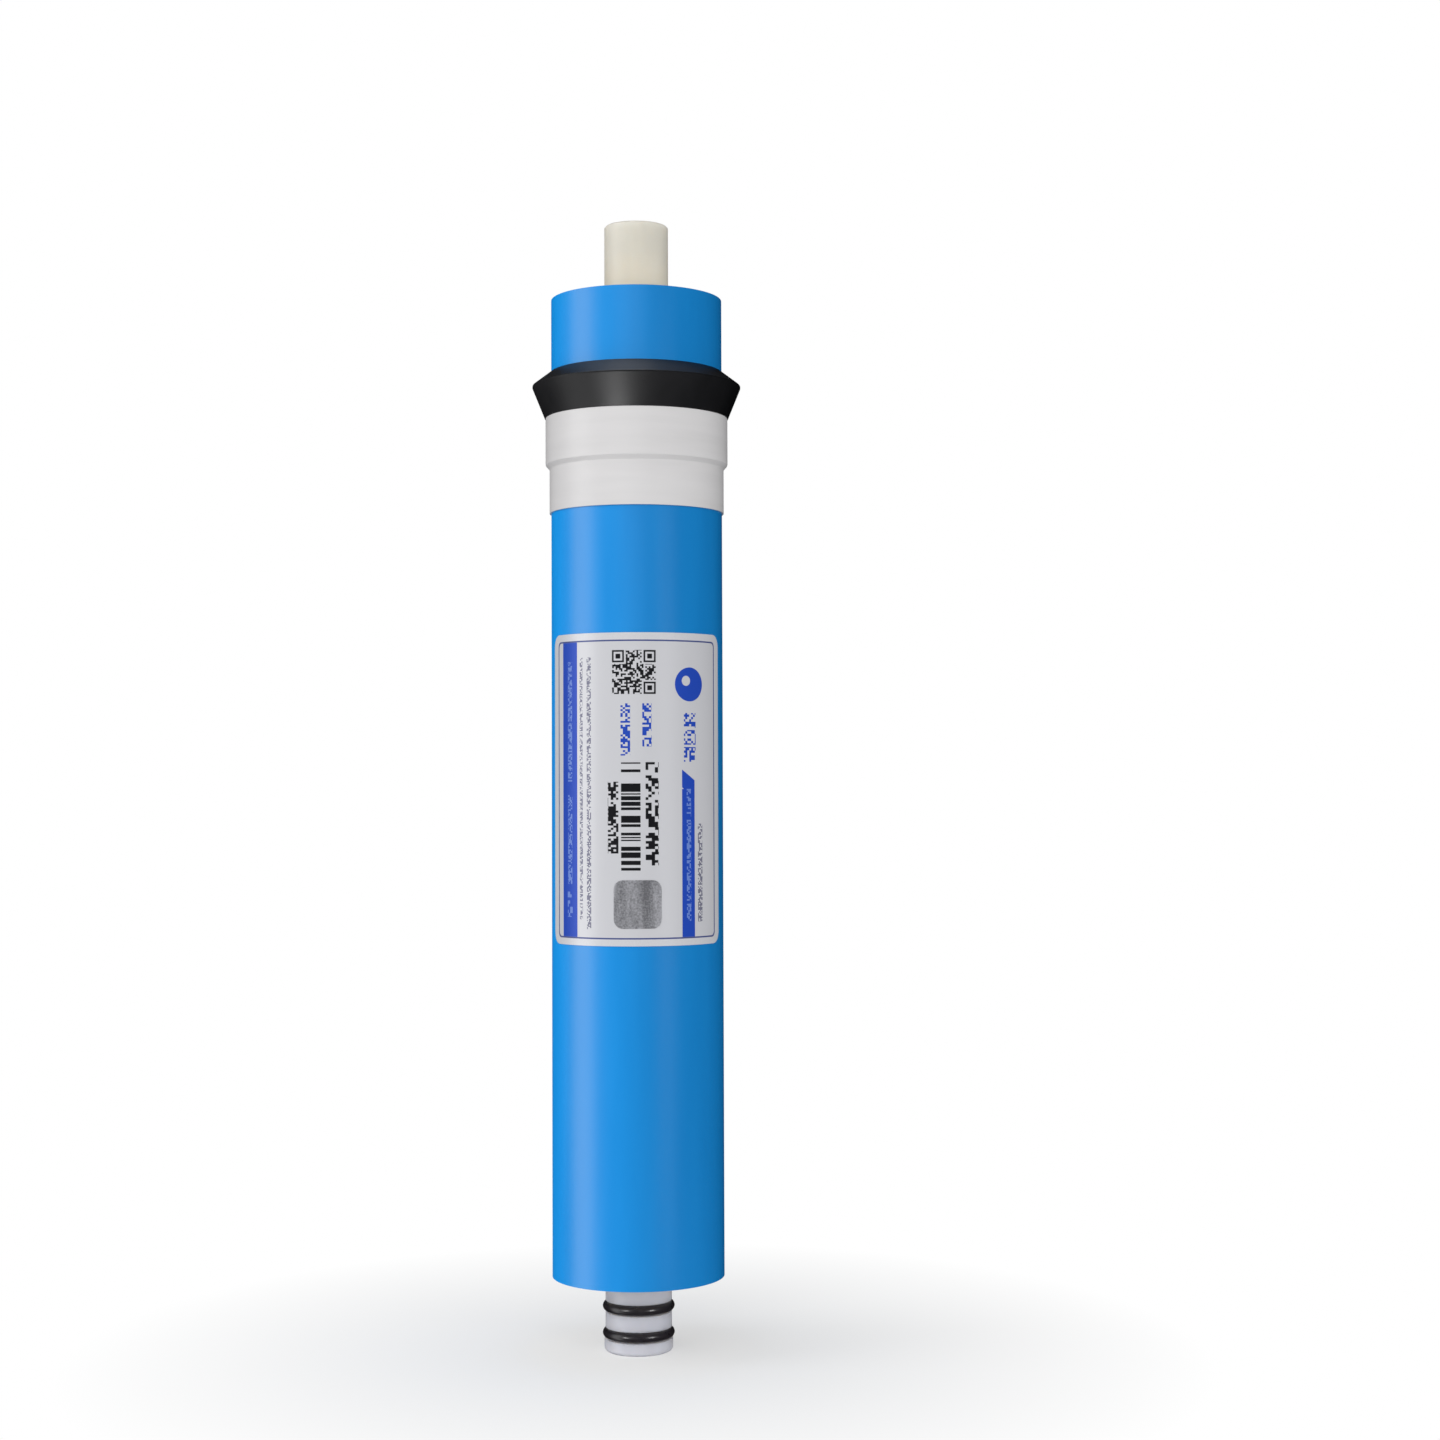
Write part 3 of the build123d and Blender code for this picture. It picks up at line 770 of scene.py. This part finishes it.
for strand in strands:
    strand.select_set(True)
bpy.ops.object.join()
strand = bpy.context.object
bpy.ops.object.mode_set(mode="EDIT")
bpy.ops.mesh.select_all(action="SELECT")
for half in range(leaf_half_turns - 1):
    side = 1 if half % 2 else -1
    count = round(pi * (net_start + half * winding_pitch / 2) / strand_spacing)
    bpy.ops.mesh.spin(steps=count, dupli=True, angle=-pi, center=(side * winding_pitch / 4 * MM, 0, 0),
                      axis=(0, 0, 1))
finish_mesh()
bpy.ops.object.select_all(action="DESELECT")
strand.select_set(True)
net.select_set(True)
bpy.context.view_layer.objects.active = net
bpy.ops.object.join()
bpy.ops.object.shade_smooth_by_angle(angle=radians(50))

# Extruded polypropylene, natural: milky and half clear, pale at the cut strands, with painted shade that
# makes it greyer and darker deeper down in the roll, and a faint mottle of 1.4 mm.
net_plastic, tree, skin, place = start_material("polypropylene_net_natural")
half_height = (roll_top - roll_bottom) / 2 - net_trim
axes = add_node(tree, "ShaderNodeSeparateXYZ", {0: place})
up = add_node(tree, "ShaderNodeMath", {0: axes.outputs["Z"], 1: -(roll_top + roll_bottom) / 2 * MM},
              operation="ADD")
off_middle = add_node(tree, "ShaderNodeMath", {0: up.outputs[0]}, operation="ABSOLUTE")
# Painted shade: the net is drawn in a dark mottled grey deep in the roll and pale only near its cut ends.
depth = add_node(tree, "ShaderNodeMapRange", {"Value": off_middle.outputs[0],
                                              "From Min": (half_height - strand_depth - 0.05) * MM,
                                              "From Max": half_height * MM})
mottle = add_node(tree, "ShaderNodeTexNoise", {"Vector": place, "Scale": 700.0, "Detail": 2.0})
painted_shade = add_node(tree, "ShaderNodeMix", {0: mottle.outputs[0], 6: to_linear("#54595B"),
                                         7: to_linear("#8A9091")}, data_type="RGBA")
colour = add_node(tree, "ShaderNodeMix", {0: depth.outputs[0], 6: painted_shade.outputs[2], 7: to_linear("#E3E6E5")},
                  data_type="RGBA")
relief = add_node(tree, "ShaderNodeBump", {"Height": mottle.outputs[0], "Strength": 0.2,
                                           "Distance": 0.05 * MM})
tree.links.new(colour.outputs[2], skin.inputs["Base Color"])
tree.links.new(relief.outputs[0], skin.inputs["Normal"])
skin.inputs["Roughness"].default_value = 0.35
skin.inputs["IOR"].default_value = 1.49
net.data.materials.append(net_plastic)
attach(net, "root")
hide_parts("feed_spacer")

# The floor is a round pale board, in metres. To the camera it fades into the white background, and it keeps
# the element's soft shadow. It isn't reflected and doesn't shade the lamps that reach below it, so that the
# element is lit evenly from end to end.
floor_radius = 0.17
fade_start = 0.03
fade_end = 0.15
glow_at_element = 0.45
bpy.ops.object.select_all(action="DESELECT")
bpy.ops.mesh.primitive_circle_add(vertices=96, radius=floor_radius, fill_type="NGON")
floor = bpy.context.object
floor.name = "floor"
floor_paint, tree, skin, place = start_material("matt_white_board")
seen = add_node(tree, "ShaderNodeLightPath", {})
skin.inputs["Base Color"].default_value = to_linear("#F4F4F4")
skin.inputs["Roughness"].default_value = 0.9
skin.inputs["Specular IOR Level"].default_value = 0.0
away = add_node(tree, "ShaderNodeVectorMath", {0: place}, operation="LENGTH")
fade = add_node(tree, "ShaderNodeMapRange", {"Value": away.outputs["Value"], "From Min": fade_start,
                                            "From Max": fade_end, "To Min": glow_at_element, "To Max": 1.0})
glow = add_node(tree, "ShaderNodeEmission", {"Color": (1, 1, 1, 1), "Strength": 1.0})
share = add_node(tree, "ShaderNodeMath", {0: seen.outputs["Is Camera Ray"], 1: fade.outputs[0]},
                 operation="MULTIPLY")
mixed = add_node(tree, "ShaderNodeMixShader", {0: share.outputs[0], 1: skin.outputs[0], 2: glow.outputs[0]})
tree.links.new(mixed.outputs[0], tree.nodes["Material Output"].inputs["Surface"])
floor.data.materials.append(floor_paint)
floor.visible_glossy = False
floor.visible_shadow = False

# A plain studio: an even surround that is white to the camera, a tall strip of soft light on the left, a
# softbox in front, a fill on the right, and a softbox behind for the back of the pieces. The film's own
# strip draws its pale band, and small cards give the seal and the O-rings their gleams.
world = bpy.data.worlds.new("studio")
bpy.context.scene.world = world
world.use_nodes = True
tree = world.node_tree
surround = tree.nodes["Background"]
seen = add_node(tree, "ShaderNodeLightPath", {})
surround.inputs["Color"].default_value = (0.96, 0.98, 1.0, 1.0)
surround.inputs["Strength"].default_value = 0.4
world.cycles_visibility.glossy = False
backdrop = add_node(tree, "ShaderNodeBackground", {"Color": (1, 1, 1, 1), "Strength": 1.0})
mixed = add_node(tree, "ShaderNodeMixShader", {0: seen.outputs["Is Camera Ray"], 1: surround.outputs[0],
                                               2: backdrop.outputs[0]})
tree.links.new(mixed.outputs[0], tree.nodes["World Output"].inputs["Surface"])
all_pieces = [tube, plug, *rings, film, seal, tape, label, sticker, carrier, leaf, net]
# Name, place and turn of each lamp, its width, height and power in metres and watts, whether reflections show
# it in full, and the pieces that it lights, where it doesn't light everything
lamps = [
    ("left_strip", (-0.94, -0.21, 0.3), (pi / 2, 0, radians(-77.5)), 0.56, 2.6, 8.6, True, None),
    ("film_strip", (-0.94, -0.21, 0.3), (pi / 2, 0, radians(-77.5)), 0.56, 2.6, 17.0, True, [film]),
    ("front_softbox", (-0.25, -1.3, 0.72), (radians(66), 0, radians(-11)), 1.1, 0.9, 7.8, False, None),
    ("right_fill", (0.8, -1.0, 0.12), (pi / 2, 0, radians(39)), 0.6, 0.6, 6.4, False, None),
    ("table_card", (-0.171, -0.335, -0.12), (radians(134), 0, radians(-27)), 0.11, 0.2, 2.9, True, [seal]),
    ("ceiling_card", (-0.09, -0.05, 0.934), (radians(9), 0, radians(-75)), 0.16, 0.25, 3.8, True, [seal]),
    ("left_card", (-0.392, -0.435, 0.14), (radians(77.5), 0, radians(-42)), 0.09, 0.14, 1.25, True, rings),
    ("right_card", (0.392, -0.435, 0.14), (radians(77.5), 0, radians(42)), 0.09, 0.14, 1.3, True, rings),
    ("back_softbox", (0.0, 1.3, 0.45), (radians(79), 0, pi), 0.5, 0.9, 7.0, False, all_pieces),
]
for light_name, spot, turn, width, height, power, reflected, lit_pieces in lamps:
    bpy.ops.object.light_add(type="AREA", location=spot, rotation=turn)
    lamp = bpy.context.object
    lamp.name = light_name
    lamp.data.shape = "RECTANGLE"
    lamp.data.size = width
    lamp.data.size_y = height
    lamp.data.energy = power
    lamp.visible_glossy = reflected
    if lit_pieces:
        lamp.light_linking.receiver_collection = bpy.data.collections.new(light_name)
        for piece in lit_pieces:
            lamp.light_linking.receiver_collection.objects.link(piece)

# The camera stands at the middle of the element's height, as in a catalogue picture of it. Its focal length
# is worked out in the picture's pixels, and its small turn puts the element left of the middle.
picture_side_pixels = 1440
focal_length_pixels = 2410
sensor_width = 36.0
camera_distance = 0.641
camera_height = 0.148
bpy.ops.object.camera_add(location=(0, -camera_distance, camera_height),
                          rotation=(radians(90 + 1.625), radians(0.2), radians(-1.96)))
camera = bpy.context.object
camera.data.sensor_width = sensor_width
camera.data.lens = sensor_width * focal_length_pixels / picture_side_pixels
camera.data.clip_start = 0.01
bpy.context.scene.camera = camera
bpy.context.scene.view_settings.view_transform = "Standard"
